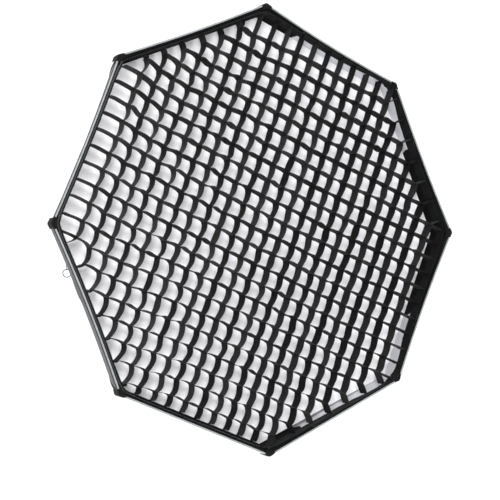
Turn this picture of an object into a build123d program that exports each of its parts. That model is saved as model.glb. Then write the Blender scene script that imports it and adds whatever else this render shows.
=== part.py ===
from build123d import *
from math import asin, atan2, cos, degrees, radians, sin, sqrt, tan
import os

# Octabox, millimetres. The front faces -Y and one corner of the octagon points up (+Z).
# The origin is the centre of the mount's throat at its rear face.

# The octagon
SIDES = 8
HALF_SECTOR = 180 / SIDES
FLAT = cos(radians(HALF_SECTOR))  # distance to a flat over distance to a corner
RIM_CORNER = 607.0  # radius of the shell's corners at the rim
FRONT_Y = -470.0  # plane of the rim

# Speed ring and mount
THROAT_R = 49.0
TUBE_R = 56.0
LUG_R = 64.0
LUG_THICK = 6.0
LUG_COUNT = 3
LUG_REACH = 90.0
LUG_HALF_WIDE = 26.0
LUG_ROOT = 55.0
LUG_START = 90
SEAT_Y = -8.0
SEAT_R = 74.0
SEAT_THICK = 4.0
SEAT_PAD_IN = 66.0  # the raised pad that the lamp lies against starts outside the lugs
SEAT_PAD_TALL = 0.8
TUBE_FRONT_Y = -27.0
RUNNING = 0.3
RING_REAR_Y = -13.3
HUB_R = 78.0
HUB_FRONT_Y = -26.7
FLANGE_R = 90.0
FLANGE_BORE_R = 68.0
FLANGE_Y = -30.0
KEEPER_R = 66.5
KEEPER_THICK = 3.0
KEEPER_SCREW_R = 52.5
KEEPER_SCREWS = 4
KEEPER_SCREW_DEPTH = 8.0
KEEPER_SCREW_START = 45
KEEPER_CHAMFER = 0.6
M3_R = 1.48
M3_HOLE_R = 1.55
M3_HEAD_R = 2.7
M3_HEAD_TALL = 1.9
HEX_R = 1.2
HEX_DEEP = 1.2
SCREW_SHORT = 0.5  # how far a screw stops above the bottom of its hole
WASHER_THICK = 1.0
WASHER_R = 73.0

# Rod sockets
SOCKET_IN = 70.0
SOCKET_OUT = 90.0
SOCKET_WIDE = 18.0
SOCKET_TALL = 16.0
SOCKET_Y = FLANGE_Y - RUNNING
SOCKET_CHAMFER = 2.0
ROD_Y = SOCKET_Y - SOCKET_TALL / 2
ROD_R = 2.0
ROD_BORE = 2.1
ROD_BORE_IN = 74.0
ROD_ROOT = 75.0
SOCKET_SCREW_R = 84.0
SOCKET_SCREW_SIDE = 4.7
SOCKET_SCREWS = [(SOCKET_SCREW_R, SOCKET_SCREW_SIDE), (SOCKET_SCREW_R, -SOCKET_SCREW_SIDE)]
SOCKET_SCREW_DEPTH = 7.0
BEND_START = 104.0  # radius where the rods leave the flat and start to curve forward

# Shell: each seam runs radially, then follows one arc to the rim
SHELL_THICK = 1.2
SHELL_CLEAR = 1.4  # between the rods and the shell
SHELL_Y = ROD_Y + ROD_R + SHELL_CLEAR + SHELL_THICK
SHELL_INNER_EDGE = 93.5
reach = RIM_CORNER - BEND_START
drop = SHELL_Y - FRONT_Y
SHELL_ARC = (reach**2 + drop**2) / (2 * drop)
BEND_Y = SHELL_Y - SHELL_ARC  # all the arcs share this centre
ROD_ARC = ROD_Y - BEND_Y
LIP_CLEAR = 1.2  # between the rods and the lip
LIP_ARC = ROD_ARC - ROD_R - LIP_CLEAR
LIP_THICK = 1.0
ROD_END_Y = -456.0
TIP_R = 2.9
TIP_BEYOND = 3.0
TIP_OVER = 9.0
TIP_SPARE = 0.2
WEDGE_REACH = 700.0
WEDGE_DEPTH = 480.0
SEAM_GAP = 0.4

# Lip, hem, piping and corner pockets at the rim
LIP_FRONT_Y = -468.0
LIP_REAR_Y = -388.0
HEM_OUT = 604.5
HEM_IN = 599.2
HEM_FRONT_Y = -470.0
HEM_REAR_Y = -462.5
PIPING_R = 2.8
PIPING_CORNER = 608.3
PIPING_Y = FRONT_Y - PIPING_R - RUNNING
PIPING_STOP = 21.0  # how far each length stops short of the corner
POCKET_SPAN = 20.0  # how far a pocket reaches from the corner along each flat
POCKET_OUT = 615.0
POCKET_IN = 608.2
POCKET_FLAP_IN = 592.0
POCKET_FRONT_Y = -476.2
POCKET_REAR_Y = -440.0
POCKET_FLAP = 1.8

# Diffuser and baffle
DIFFUSER_Y = -412.0
DIFFUSER_CORNER = 585.4
CLOTH = 1.0
DIFFUSER_HEM_CORNER = 579.4
DIFFUSER_HEM_WIDE = 20.0
DIFFUSER_HEM_THICK = 1.5
BAFFLE_Y = -230.0
BAFFLE_CORNER = 455.0
STRAP_WIDE = 20.0
STRAP_THICK = 1.5
STRAP_GAP = 0.8

# Egg-crate grid, its axes parallel to the octagon's flats
GRID_PITCH = 46.3
GRID_SIDE_COUNT = 11  # strips each side of the middle one
GRID_FRONT_Y = -473.0
GRID_DEPTH = 36.0
GRID_STRIP = 1.0
GRID_SLOT = 1.6
GRID_SLOT_SPARE = 0.2
BAND_CORNER = 591.2
BAND_THICK = 1.5
STRIP_CORNER = 588.4
TAPE_OUT = 592.5
TAPE_IN = 591.6
TAPE_REAR_Y = -440.0
TAPE_FRONT_Y = -469.0

# Lock knob, on the flat between two rods
KNOB_ANGLE = 67.5
KNOB_Y = -19.6
STUD_R = 3.0
STUD_HOLE = 3.1
STUD_TIP = 56.6
STUD_HOLE_DEPTH = 24.0
KNOB_IN = 80.0
KNOB_OUT = 104.0
KNOB_R = 6.8
KNOB_FLUTES = 10
KNOB_FLUTE_R = 1.1
KNOB_FLUTE_OUT = 0.4

# Rear sleeve
SLEEVE_IN = 90.5
SLEEVE_OUT = 91.7
SLEEVE_FLANGE = 106.0
SLEEVE_FLANGE_THICK = 1.0
SLEEVE_REAR_Y = -27.5
SLEEVE_LIFT = 0.4
SLEEVE_FRONT_Y = SHELL_Y + SLEEVE_LIFT
STRAP_OUT = 93.4
STRAP_REAR_Y = -28.2
STRAP_FRONT_Y = -31.6

# Zip across the middle of the lower left gore
ZIP_GORE = 4
ZIP_Y = -260.0
ZIP_START = -116.0
ZIP_LENGTH = 290.0
ZIP_TAPE_WIDE = 24.0
ZIP_TAPE_THICK = 0.8
ZIP_TEETH_WIDE = 5.0
ZIP_TEETH_TALL = 1.3
ZIP_LIFT = 0.45
ZIP_STOP = 2.0
SLIDER_AT = -99.0
SLIDER_LONG = 14.0
SLIDER_WIDE = 10.0
SLIDER_TALL = 4.2
SLIDER_ROUND = 3.0
SLIDER_CHANNEL = 6.0
BAIL_TALL = 4.6
BAIL_SUNK = 1.0
BAIL_LONG = 4.6
BAIL_WIDE = 1.8
BAIL_HOLE_R = 1.15
PIN_R = 0.8
TAB_FORK = 3.4
TAB_SLOT = 2.4
TAB_ROUND = 1.2
HINGE_RISE = 2.9  # hinge line above the slider's back
TAB_LONG = 14.0
TAB_WIDE = 4.6
TAB_THICK = 1.0
TAB_EYE = 2.4  # from the tab's end to the middle of the ring's hole
RING_R = 10.6
RING_CORD_R = 1.1
RING_HOLE_R = 1.15

os.makedirs("parts", exist_ok=True)


def save(name, shape):
    shape.label = name
    export_step(shape, f"parts/{name}.step")


def facing(y):
    """Workplane across the box at y, local x along +X and local y along +Z, normal forwards."""
    return Plane(origin=(0, y, 0), x_dir=(1, 0, 0), z_dir=(0, -1, 0))


def sector_plane(angle):
    """Workplane through the mount axis: local x radial at this angle, local y along +Y."""
    turn = radians(angle)
    return Plane(origin=(0, 0, 0), x_dir=(cos(turn), 0, sin(turn)), z_dir=(-sin(turn), 0, cos(turn)))


def radial_plane(angle, radius):
    """Workplane facing outwards at this angle and radius, local y along +Y."""
    outward = sector_plane(angle).x_dir
    return Plane(origin=outward * radius, x_dir=Vector(0, 1, 0).cross(outward), z_dir=outward)


def octagon(corner):
    RegularPolygon(radius=corner, side_count=SIDES, major_radius=True)


def arc_radius_at(arc, y):
    """Distance from the mount axis to a seam arc at height y."""
    return BEND_START + sqrt(arc**2 - (y - BEND_Y) ** 2)


def octagon_band(name, outer, inner, rear_y, front_y):
    with BuildPart() as band:
        with BuildSketch(facing(rear_y)):
            octagon(outer)
            RegularPolygon(inner, SIDES, major_radius=True, mode=Mode.SUBTRACT)
        extrude(amount=rear_y - front_y)
    save(name, band.part)


with BuildPart() as bayonet_insert:
    with BuildSketch(Plane.XY):
        with BuildLine():
            Polyline(
                (THROAT_R, 0),
                (TUBE_R, 0),
                (TUBE_R, SEAT_Y - SEAT_PAD_TALL),
                (SEAT_PAD_IN, SEAT_Y - SEAT_PAD_TALL),
                (SEAT_PAD_IN, SEAT_Y),
                (SEAT_R, SEAT_Y),
                (SEAT_R, SEAT_Y - SEAT_THICK),
                (TUBE_R, SEAT_Y - SEAT_THICK),
                (TUBE_R, TUBE_FRONT_Y),
                (THROAT_R, TUBE_FRONT_Y),
                close=True,
            )
        make_face()
    revolve(axis=Axis.Y)
    # three bayonet lugs, each a sector of a ring
    with BuildSketch(facing(0)):
        with PolarLocations(0, LUG_COUNT, start_angle=LUG_START):
            Polygon((0, 0), (LUG_REACH, LUG_HALF_WIDE), (LUG_REACH, -LUG_HALF_WIDE), align=None)
        Circle(LUG_R, mode=Mode.INTERSECT)
        Circle(LUG_ROOT, mode=Mode.SUBTRACT)
    extrude(amount=LUG_THICK)
    with BuildSketch(facing(TUBE_FRONT_Y)):
        with PolarLocations(KEEPER_SCREW_R, KEEPER_SCREWS, start_angle=KEEPER_SCREW_START):
            Circle(M3_HOLE_R)
    extrude(amount=-KEEPER_SCREW_DEPTH, mode=Mode.SUBTRACT)
save("bayonet_insert", bayonet_insert.part)

with BuildPart() as friction_washer:
    with BuildSketch(facing(SEAT_Y - SEAT_THICK)):
        Circle(WASHER_R)
        Circle(TUBE_R + RUNNING, mode=Mode.SUBTRACT)
    extrude(amount=WASHER_THICK)
save("friction_washer", friction_washer.part)

with BuildPart() as retaining_ring:
    with BuildSketch(facing(TUBE_FRONT_Y)):
        Circle(KEEPER_R)
        Circle(THROAT_R, mode=Mode.SUBTRACT)
        with PolarLocations(KEEPER_SCREW_R, KEEPER_SCREWS, start_angle=KEEPER_SCREW_START):
            Circle(M3_HOLE_R, mode=Mode.SUBTRACT)
    extrude(amount=KEEPER_THICK)
    outer_edges = retaining_ring.edges().filter_by(GeomType.CIRCLE).sort_by(SortBy.RADIUS)[-2:]
    chamfer(outer_edges, KEEPER_CHAMFER)
save("retaining_ring", retaining_ring.part)

with BuildPart() as retaining_screws:
    with BuildSketch(facing(TUBE_FRONT_Y + KEEPER_SCREW_DEPTH - SCREW_SHORT)):
        with PolarLocations(KEEPER_SCREW_R, KEEPER_SCREWS, start_angle=KEEPER_SCREW_START):
            Circle(M3_R)
    extrude(amount=KEEPER_SCREW_DEPTH - SCREW_SHORT + KEEPER_THICK)
    with BuildSketch(facing(TUBE_FRONT_Y - KEEPER_THICK)):
        with PolarLocations(KEEPER_SCREW_R, KEEPER_SCREWS, start_angle=KEEPER_SCREW_START):
            Circle(M3_HEAD_R)
    extrude(amount=M3_HEAD_TALL)
    with BuildSketch(facing(TUBE_FRONT_Y - KEEPER_THICK - M3_HEAD_TALL)):
        with PolarLocations(KEEPER_SCREW_R, KEEPER_SCREWS, start_angle=KEEPER_SCREW_START):
            RegularPolygon(HEX_R, 6)
    extrude(amount=-HEX_DEEP, mode=Mode.SUBTRACT)
save("retaining_screws", retaining_screws.part)

with BuildPart() as speed_ring:
    with BuildSketch(Plane.XY):
        with BuildLine():
            Polyline(
                (TUBE_R + RUNNING, RING_REAR_Y),
                (HUB_R, RING_REAR_Y),
                (HUB_R, HUB_FRONT_Y),
                (FLANGE_R, HUB_FRONT_Y),
                (FLANGE_R, FLANGE_Y),
                (FLANGE_BORE_R, FLANGE_Y),
                (FLANGE_BORE_R, HUB_FRONT_Y),
                (TUBE_R + RUNNING, HUB_FRONT_Y),
                close=True,
            )
        make_face()
    revolve(axis=Axis.Y)
    with BuildSketch(facing(FLANGE_Y)):
        with PolarLocations(0, SIDES):
            with Locations(*SOCKET_SCREWS):
                Circle(M3_HOLE_R)
    extrude(amount=FLANGE_Y - HUB_FRONT_Y, mode=Mode.SUBTRACT)
    # threaded hole for the lock stud
    with BuildSketch(radial_plane(KNOB_ANGLE, TUBE_R)):
        with Locations((0, KNOB_Y)):
            Circle(STUD_HOLE)
    extrude(amount=STUD_HOLE_DEPTH, mode=Mode.SUBTRACT)
save("speed_ring", speed_ring.part)


def rod_socket(angle):
    radial = Plane(origin=(0, SOCKET_Y, 0), x_dir=sector_plane(angle).x_dir, z_dir=(0, -1, 0))
    with BuildPart() as socket:
        with BuildSketch(radial):
            with Locations(((SOCKET_IN + SOCKET_OUT) / 2, 0)):
                Rectangle(SOCKET_OUT - SOCKET_IN, SOCKET_WIDE)
        extrude(amount=SOCKET_TALL)
        front = socket.faces().sort_by(Axis.Y)[0]
        chamfer(front.edges(), SOCKET_CHAMFER)
        with BuildSketch(radial_plane(angle, ROD_BORE_IN)):
            with Locations((0, ROD_Y)):
                Circle(ROD_BORE)
        extrude(amount=SOCKET_OUT, mode=Mode.SUBTRACT)
        with BuildSketch(radial):
            with Locations(*SOCKET_SCREWS):
                Circle(M3_HOLE_R)
        extrude(amount=SOCKET_SCREW_DEPTH, mode=Mode.SUBTRACT)
    return socket.part


def rod(angle):
    plane = sector_plane(angle)
    end_angle = asin((ROD_END_Y - BEND_Y) / ROD_ARC)
    with BuildPart() as bent:
        with BuildLine(plane) as path:
            Line((ROD_ROOT, ROD_Y), (BEND_START, ROD_Y))
            CenterArc((BEND_START, BEND_Y), ROD_ARC, 90, degrees(end_angle) - 90)
        with BuildSketch(radial_plane(angle, ROD_ROOT)):
            with Locations((0, ROD_Y)):
                Circle(ROD_R)
        sweep(path=path.line)
    return bent.part


for index in range(SIDES):
    corner_angle = index * 360 / SIDES
    save(f"rod_socket_{index + 1}", rod_socket(corner_angle))
    save(f"rod_{index + 1}", rod(corner_angle))

with BuildPart() as socket_screws:
    with BuildSketch(facing(HUB_FRONT_Y)):
        with PolarLocations(0, SIDES):
            with Locations(*SOCKET_SCREWS):
                Circle(M3_R)
    extrude(amount=HUB_FRONT_Y - SOCKET_Y + SOCKET_SCREW_DEPTH - SCREW_SHORT)
    with BuildSketch(facing(HUB_FRONT_Y)):
        with PolarLocations(0, SIDES):
            with Locations(*SOCKET_SCREWS):
                Circle(M3_HEAD_R)
    extrude(amount=-M3_HEAD_TALL)
save("socket_screws", socket_screws.part)

with BuildPart() as rod_tips:
    tip_radius = arc_radius_at(ROD_ARC, ROD_END_Y)
    tip_slope = degrees(asin((ROD_END_Y - BEND_Y) / ROD_ARC))
    for index in range(SIDES):
        plane = sector_plane(index * 360 / SIDES)
        tip_plane = Plane(
            origin=plane.from_local_coords((tip_radius, ROD_END_Y, 0)),
            x_dir=plane.z_dir,
            z_dir=plane.from_local_coords((sin(radians(tip_slope)), -cos(radians(tip_slope)), 0)),
        )
        with BuildSketch(tip_plane):
            Circle(TIP_R)
        extrude(amount=TIP_BEYOND)
        with BuildSketch(tip_plane):
            Circle(TIP_R)
            Circle(ROD_R + TIP_SPARE, mode=Mode.SUBTRACT)
        extrude(amount=-TIP_OVER)
save("rod_tips", rod_tips.part)

with BuildPart() as lock_knob:
    with BuildSketch(radial_plane(KNOB_ANGLE, STUD_TIP)):
        with Locations((0, KNOB_Y)):
            Circle(STUD_R)
    extrude(amount=KNOB_IN - STUD_TIP)
    with BuildSketch(radial_plane(KNOB_ANGLE, KNOB_IN)):
        with Locations((0, KNOB_Y)):
            Circle(KNOB_R)
            with PolarLocations(KNOB_R + KNOB_FLUTE_OUT, KNOB_FLUTES):
                Circle(KNOB_FLUTE_R, mode=Mode.SUBTRACT)
    extrude(amount=KNOB_OUT - KNOB_IN)
save("lock_knob", lock_knob.part)

# Fabric of the box


def seam_band(angle, outer_arc, thick, rear_y, front_y, inner_edge=None):
    """One ruled fabric panel between two rods: the seam arc, squeezed to the flat's radius."""
    half = WEDGE_REACH * tan(radians(HALF_SECTOR))
    ends = []
    with BuildPart() as panel:
        with BuildSketch(sector_plane(angle)):
            with BuildLine():
                for arc in (outer_arc, outer_arc - thick):
                    low = degrees(asin((front_y - BEND_Y) / arc))
                    high = 90 if inner_edge else degrees(asin((rear_y - BEND_Y) / arc))
                    curve = EllipticalCenterArc(
                        (BEND_START * FLAT, BEND_Y), arc * FLAT, arc, start_angle=low, arc_size=high - low
                    )
                    ends.append([curve @ 0, curve @ 1])
                    if inner_edge:
                        flat_run = Line(curve @ 1, (inner_edge, (curve @ 1).Y))
                        ends[-1][1] = flat_run @ 1
                Line(ends[0][0], ends[1][0])
                Line(ends[0][1], ends[1][1])
            make_face()
        extrude(amount=half, both=True)
        with BuildSketch(Plane(origin=(0, 0, 0), x_dir=sector_plane(angle).x_dir, z_dir=(0, -1, 0))):
            Polygon(
                (SEAM_GAP, 0),
                (SEAM_GAP + WEDGE_REACH, half),
                (SEAM_GAP + WEDGE_REACH, -half),
                align=None,
            )
        extrude(amount=WEDGE_DEPTH, mode=Mode.INTERSECT)
    return panel.part


gore_angles = [HALF_SECTOR + index * 360 / SIDES for index in range(SIDES)]
for index, angle in enumerate(gore_angles):
    gore = seam_band(angle, SHELL_ARC, SHELL_THICK, SHELL_Y, FRONT_Y, SHELL_INNER_EDGE)
    save(f"shell_gore_{index + 1}", gore)

lip_panels = [seam_band(angle, LIP_ARC, LIP_THICK, LIP_REAR_Y, LIP_FRONT_Y) for angle in gore_angles]
save("front_lip", Compound(children=lip_panels))

octagon_band("front_hem", HEM_OUT, HEM_IN, HEM_REAR_Y, HEM_FRONT_Y)

with BuildPart() as rim_piping:
    flat_radius = PIPING_CORNER * FLAT
    flat_half = PIPING_CORNER * sin(radians(HALF_SECTOR)) - PIPING_STOP
    for angle in gore_angles:
        plane = sector_plane(angle)
        with BuildSketch(plane):
            with Locations((flat_radius, PIPING_Y)):
                Circle(PIPING_R)
        extrude(amount=flat_half, both=True)
save("rim_piping", rim_piping.part)

with BuildPart() as corner_pockets:
    for index in range(SIDES):
        radial_dir = sector_plane(index * 360 / SIDES).x_dir
        back = POCKET_SPAN * sin(radians(HALF_SECTOR))
        side = POCKET_SPAN * FLAT
        with BuildSketch(Plane(origin=(0, POCKET_REAR_Y, 0), x_dir=radial_dir, z_dir=(0, -1, 0))):
            Polygon(
                (POCKET_OUT, 0),
                (POCKET_OUT - back, side),
                (POCKET_IN - back, side),
                (POCKET_IN, 0),
                (POCKET_IN - back, -side),
                (POCKET_OUT - back, -side),
                align=None,
            )
        extrude(amount=POCKET_REAR_Y - POCKET_FRONT_Y)
        with BuildSketch(Plane(origin=(0, POCKET_FRONT_Y, 0), x_dir=radial_dir, z_dir=(0, -1, 0))):
            Polygon(
                (POCKET_OUT, 0),
                (POCKET_OUT - back, side),
                (POCKET_FLAP_IN, side),
                (POCKET_FLAP_IN, -side),
                (POCKET_OUT - back, -side),
                align=None,
            )
        extrude(amount=POCKET_FLAP)
save("corner_pockets", corner_pockets.part)

with BuildPart() as rear_sleeve:
    with BuildSketch(Plane.XY):
        with BuildLine():
            Polyline(
                (SLEEVE_IN, SLEEVE_REAR_Y),
                (SLEEVE_OUT, SLEEVE_REAR_Y),
                (SLEEVE_OUT, SLEEVE_FRONT_Y + SLEEVE_FLANGE_THICK),
                (SLEEVE_FLANGE, SLEEVE_FRONT_Y + SLEEVE_FLANGE_THICK),
                (SLEEVE_FLANGE, SLEEVE_FRONT_Y),
                (SLEEVE_IN, SLEEVE_FRONT_Y),
                close=True,
            )
        make_face()
    revolve(axis=Axis.Y)
save("rear_sleeve", rear_sleeve.part)

with BuildPart() as sleeve_strap:
    with BuildSketch(facing(STRAP_REAR_Y)):
        Circle(STRAP_OUT)
        Circle(SLEEVE_OUT, mode=Mode.SUBTRACT)
    extrude(amount=STRAP_REAR_Y - STRAP_FRONT_Y)
save("sleeve_strap", sleeve_strap.part)

# Diffusers
with BuildPart() as front_diffuser:
    with BuildSketch(facing(DIFFUSER_Y)):
        octagon(DIFFUSER_CORNER)
    extrude(amount=CLOTH)
save("front_diffuser", front_diffuser.part)

octagon_band(
    "diffuser_hem",
    DIFFUSER_HEM_CORNER,
    DIFFUSER_HEM_CORNER - DIFFUSER_HEM_THICK,
    DIFFUSER_Y + DIFFUSER_HEM_WIDE + RUNNING,
    DIFFUSER_Y + RUNNING,
)

with BuildPart() as inner_baffle:
    with BuildSketch(facing(BAFFLE_Y)):
        octagon(BAFFLE_CORNER)
    extrude(amount=CLOTH)
save("inner_baffle", inner_baffle.part)

with BuildPart() as baffle_straps:
    strap_start = BAFFLE_CORNER + STRAP_GAP
    strap_end = arc_radius_at(ROD_ARC, BAFFLE_Y) - ROD_R - STRAP_GAP
    with BuildSketch(facing(BAFFLE_Y)):
        with PolarLocations((strap_start + strap_end) / 2, SIDES):
            Rectangle(strap_end - strap_start, STRAP_WIDE)
    extrude(amount=STRAP_THICK)
save("baffle_straps", baffle_straps.part)

# Egg-crate grid
GRID_REAR_Y = GRID_FRONT_Y + GRID_DEPTH
octagon_band("grid_band", BAND_CORNER, BAND_CORNER - BAND_THICK / FLAT, GRID_REAR_Y, GRID_FRONT_Y)
octagon_band("grid_tape", TAPE_OUT, TAPE_IN, TAPE_REAR_Y, TAPE_FRONT_Y)

rise_dir = Vector(sin(radians(HALF_SECTOR)), 0, cos(radians(HALF_SECTOR)))
cross_dir = Vector(cos(radians(HALF_SECTOR)), 0, -sin(radians(HALF_SECTOR)))
strip_flat = STRIP_CORNER * FLAT


def half_length(offset):
    """Half the length of a strip this far from the centre, inside the octagon."""
    return min(strip_flat, strip_flat * sqrt(2) - abs(offset))


def comb(offset, along, across, slots_in_front):
    """One grid strip: a comb with half-depth slots where the other strips cross it."""
    end = half_length(offset)
    base = GRID_DEPTH if slots_in_front else 0
    slot_floor = GRID_DEPTH / 2 + (-GRID_SLOT_SPARE if slots_in_front else GRID_SLOT_SPARE)
    outline = [(-end, base)]
    for step in range(-GRID_SIDE_COUNT, GRID_SIDE_COUNT + 1):
        place = step * GRID_PITCH
        if abs(place) < end and abs(offset) < half_length(place):
            outline.append((place - GRID_SLOT / 2, base))
            outline.append((place - GRID_SLOT / 2, slot_floor))
            outline.append((place + GRID_SLOT / 2, slot_floor))
            outline.append((place + GRID_SLOT / 2, base))
    outline.append((end, base))
    outline.append((end, GRID_DEPTH - base))
    outline.append((-end, GRID_DEPTH - base))
    origin = Vector(0, GRID_REAR_Y, 0) + across * offset
    with BuildPart() as strip:
        with BuildSketch(Plane(origin=origin, x_dir=along, z_dir=along.cross(Vector(0, -1, 0)))):
            with BuildLine():
                Polyline(*outline, close=True)
            make_face()
        extrude(amount=GRID_STRIP / 2, both=True)
    return strip.part


def strips(along, across, slots_in_front):
    count = range(-GRID_SIDE_COUNT, GRID_SIDE_COUNT + 1)
    return Compound(children=[comb(step * GRID_PITCH, along, across, slots_in_front) for step in count])


save("grid_strips_rise", strips(rise_dir, cross_dir, True))
save("grid_strips_cross", strips(cross_dir, rise_dir, False))

# Zip
zip_angle = gore_angles[ZIP_GORE]
zip_sector = sector_plane(zip_angle)
zip_slope = asin((ZIP_Y - BEND_Y) / SHELL_ARC)
zip_out = Vector(cos(zip_slope) / FLAT, sin(zip_slope), 0).normalized()
zip_normal = zip_sector.x_dir * zip_out.X + Vector(0, 1, 0) * zip_out.Y
zip_along = zip_sector.z_dir
zip_foot = zip_sector.from_local_coords((arc_radius_at(SHELL_ARC, ZIP_Y) * FLAT, ZIP_Y, 0))


def zip_plane(place, height):
    """Workplane on the tape: local x along the zip, local z out of the shell."""
    return Plane(origin=zip_foot + zip_along * place + zip_normal * height, x_dir=zip_along, z_dir=zip_normal)


tape_centre = ZIP_START + ZIP_LENGTH / 2
with BuildPart() as zip_tape:
    with BuildSketch(zip_plane(tape_centre, ZIP_LIFT)):
        Rectangle(ZIP_LENGTH, ZIP_TAPE_WIDE)
    extrude(amount=ZIP_TAPE_THICK)
save("zip_tape", zip_tape.part)

teeth_foot = ZIP_LIFT + ZIP_TAPE_THICK
with BuildPart() as zip_teeth:
    with BuildSketch(zip_plane(tape_centre, teeth_foot)):
        Rectangle(ZIP_LENGTH - 2 * ZIP_STOP, ZIP_TEETH_WIDE)
    extrude(amount=ZIP_TEETH_TALL)
save("zip_teeth", zip_teeth.part)

slider_foot = teeth_foot + RUNNING
hinge_height = slider_foot + SLIDER_TALL + HINGE_RISE
with BuildPart() as zip_slider:
    with BuildSketch(zip_plane(SLIDER_AT, slider_foot)):
        RectangleRounded(SLIDER_LONG, SLIDER_WIDE, SLIDER_ROUND)
    extrude(amount=SLIDER_TALL)
    with BuildSketch(zip_plane(SLIDER_AT, slider_foot)):
        Rectangle(SLIDER_LONG, SLIDER_CHANNEL)
    extrude(amount=ZIP_TEETH_TALL + RUNNING, mode=Mode.SUBTRACT)
    # bail: an arch along the zip that the pull tab hangs in
    bail_plane = zip_plane(SLIDER_AT, slider_foot + SLIDER_TALL)
    with BuildSketch(Plane(origin=bail_plane.origin, x_dir=zip_along, z_dir=zip_along.cross(zip_normal))):
        with Locations((0, (BAIL_TALL - BAIL_SUNK) / 2)):
            Rectangle(BAIL_LONG, BAIL_TALL + BAIL_SUNK)
        with Locations((0, HINGE_RISE)):
            Circle(BAIL_HOLE_R, mode=Mode.SUBTRACT)
    extrude(amount=BAIL_WIDE / 2, both=True)
save("zip_slider", zip_slider.part)

down = Vector(0, 0, -1)
hang = atan2(down.dot(zip_normal), down.dot(zip_along))
hang_dir = zip_along * cos(hang) + zip_normal * sin(hang)
pin_dir = zip_along.cross(zip_normal)
hinge_at = zip_foot + zip_along * SLIDER_AT + zip_normal * hinge_height
pull_face = Plane(origin=hinge_at, x_dir=hang_dir, z_dir=hang_dir.cross(pin_dir))
with BuildPart() as zip_pull:
    # forked tab: its pin passes through the bail
    with BuildSketch(Plane(origin=hinge_at, x_dir=hang_dir, z_dir=pin_dir)):
        Circle(PIN_R)
    extrude(amount=TAB_WIDE / 2, both=True)
    with BuildSketch(pull_face):
        with Locations((TAB_LONG / 2, 0)):
            RectangleRounded(TAB_LONG + 2 * PIN_R, TAB_WIDE, TAB_ROUND)
        Rectangle(2 * TAB_FORK, TAB_SLOT, mode=Mode.SUBTRACT)
        with Locations((TAB_LONG - TAB_EYE, 0)):
            Circle(RING_HOLE_R, mode=Mode.SUBTRACT)
    extrude(amount=TAB_THICK / 2, both=True)
    ring_centre = hinge_at + hang_dir * (TAB_LONG - TAB_EYE + RING_R)
    with BuildSketch(pull_face):
        with Locations((TAB_LONG - TAB_EYE + 2 * RING_R, 0)):
            Circle(RING_CORD_R)
    revolve(axis=Axis(ring_centre, pin_dir))
save("zip_pull", zip_pull.part)
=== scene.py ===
import bpy
import math
from mathutils import Matrix, Vector, noise


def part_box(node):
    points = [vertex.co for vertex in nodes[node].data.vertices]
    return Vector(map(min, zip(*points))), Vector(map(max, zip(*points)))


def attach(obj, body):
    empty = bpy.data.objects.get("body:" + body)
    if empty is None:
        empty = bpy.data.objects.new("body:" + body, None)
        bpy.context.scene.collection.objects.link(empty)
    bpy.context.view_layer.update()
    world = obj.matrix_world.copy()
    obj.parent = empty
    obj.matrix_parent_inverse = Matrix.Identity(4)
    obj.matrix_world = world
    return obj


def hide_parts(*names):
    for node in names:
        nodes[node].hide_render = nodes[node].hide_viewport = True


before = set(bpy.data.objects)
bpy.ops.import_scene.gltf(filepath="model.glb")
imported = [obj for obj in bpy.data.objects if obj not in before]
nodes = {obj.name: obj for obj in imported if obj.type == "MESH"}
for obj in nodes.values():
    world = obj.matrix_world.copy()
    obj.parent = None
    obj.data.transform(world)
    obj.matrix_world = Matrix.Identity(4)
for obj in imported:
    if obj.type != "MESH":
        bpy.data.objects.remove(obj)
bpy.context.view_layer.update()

# the box faces -Y with one corner up; everything is in metres
corners = 8
sector = 2 * math.pi / corners
flatShare = math.cos(sector / 2)
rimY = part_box("shell_gore_1")[0].y
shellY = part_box("shell_gore_1")[1].y
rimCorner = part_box("shell_gore_1")[1].x

# the seams leave the speed ring flat, then follow one arc to the rim
seam = {"bendStart": 0.104, "innerEdge": 0.1005}
reach = rimCorner - seam["bendStart"]
drop = shellY - rimY
shellArc = (reach**2 + drop**2) / (2 * drop)
bendY = shellY - shellArc

# both lists go round from the corner on the right: how far each rim edge is pulled in
# at its middle, and how far each corner of the rim stands out or in
rimPull = [0.005, 0.007, 0.0045, 0.004, 0.006, 0.0, 0.0, 0.0055]
rimPush = [0.008, -0.009, 0.001, 0.001, 0.0, 0.0, 0.002, -0.0095]
flatFill = 0.0048  # between the rods the lining lies closer to the shell by this much
print("frame read, rim corner", round(rimCorner, 3))


def cornerAngle(index):
    return index * sector


def smoothStep(value):
    value = min(1.0, max(0.0, value))
    return value * value * (3 - 2 * value)


def ripple(x, y, z, scale, size):
    return noise.noise(Vector((x, y, z)) * scale) * size


def arcRadius(arc, y):
    return seam["bendStart"] + math.sqrt(max(arc * arc - (y - bendY) ** 2, 0))


def ringPoint(share, radius, y, pull=0.0, fill=0.0, push=0.0):
    # a point on an octagon of this corner radius
    # share goes once round from the corner on the right
    turn = (share % 1.0) * corners
    index = min(int(turn), corners - 1)
    part = turn - index
    a, b = cornerAngle(index), cornerAngle(index + 1)
    near = (radius + push * rimPush[index]) * (1 - part)
    far = (radius + push * rimPush[(index + 1) % corners]) * part
    x = near * math.cos(a) + far * math.cos(b)
    z = near * math.sin(a) + far * math.sin(b)
    inward = pull * rimPull[index] * math.sin(math.pi * part)
    inward -= fill * flatFill * (1 - abs(2 * part - 1) ** 9)
    mid = (a + b) / 2
    return Vector((x - inward * math.cos(mid), y, z - inward * math.sin(mid)))


def clearSelection():
    if bpy.context.object and bpy.context.object.mode != "OBJECT":
        bpy.ops.object.mode_set(mode="OBJECT")
    bpy.ops.object.select_all(action="DESELECT")


def pick(piece):
    clearSelection()
    piece.select_set(True)
    bpy.context.view_layer.objects.active = piece


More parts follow.
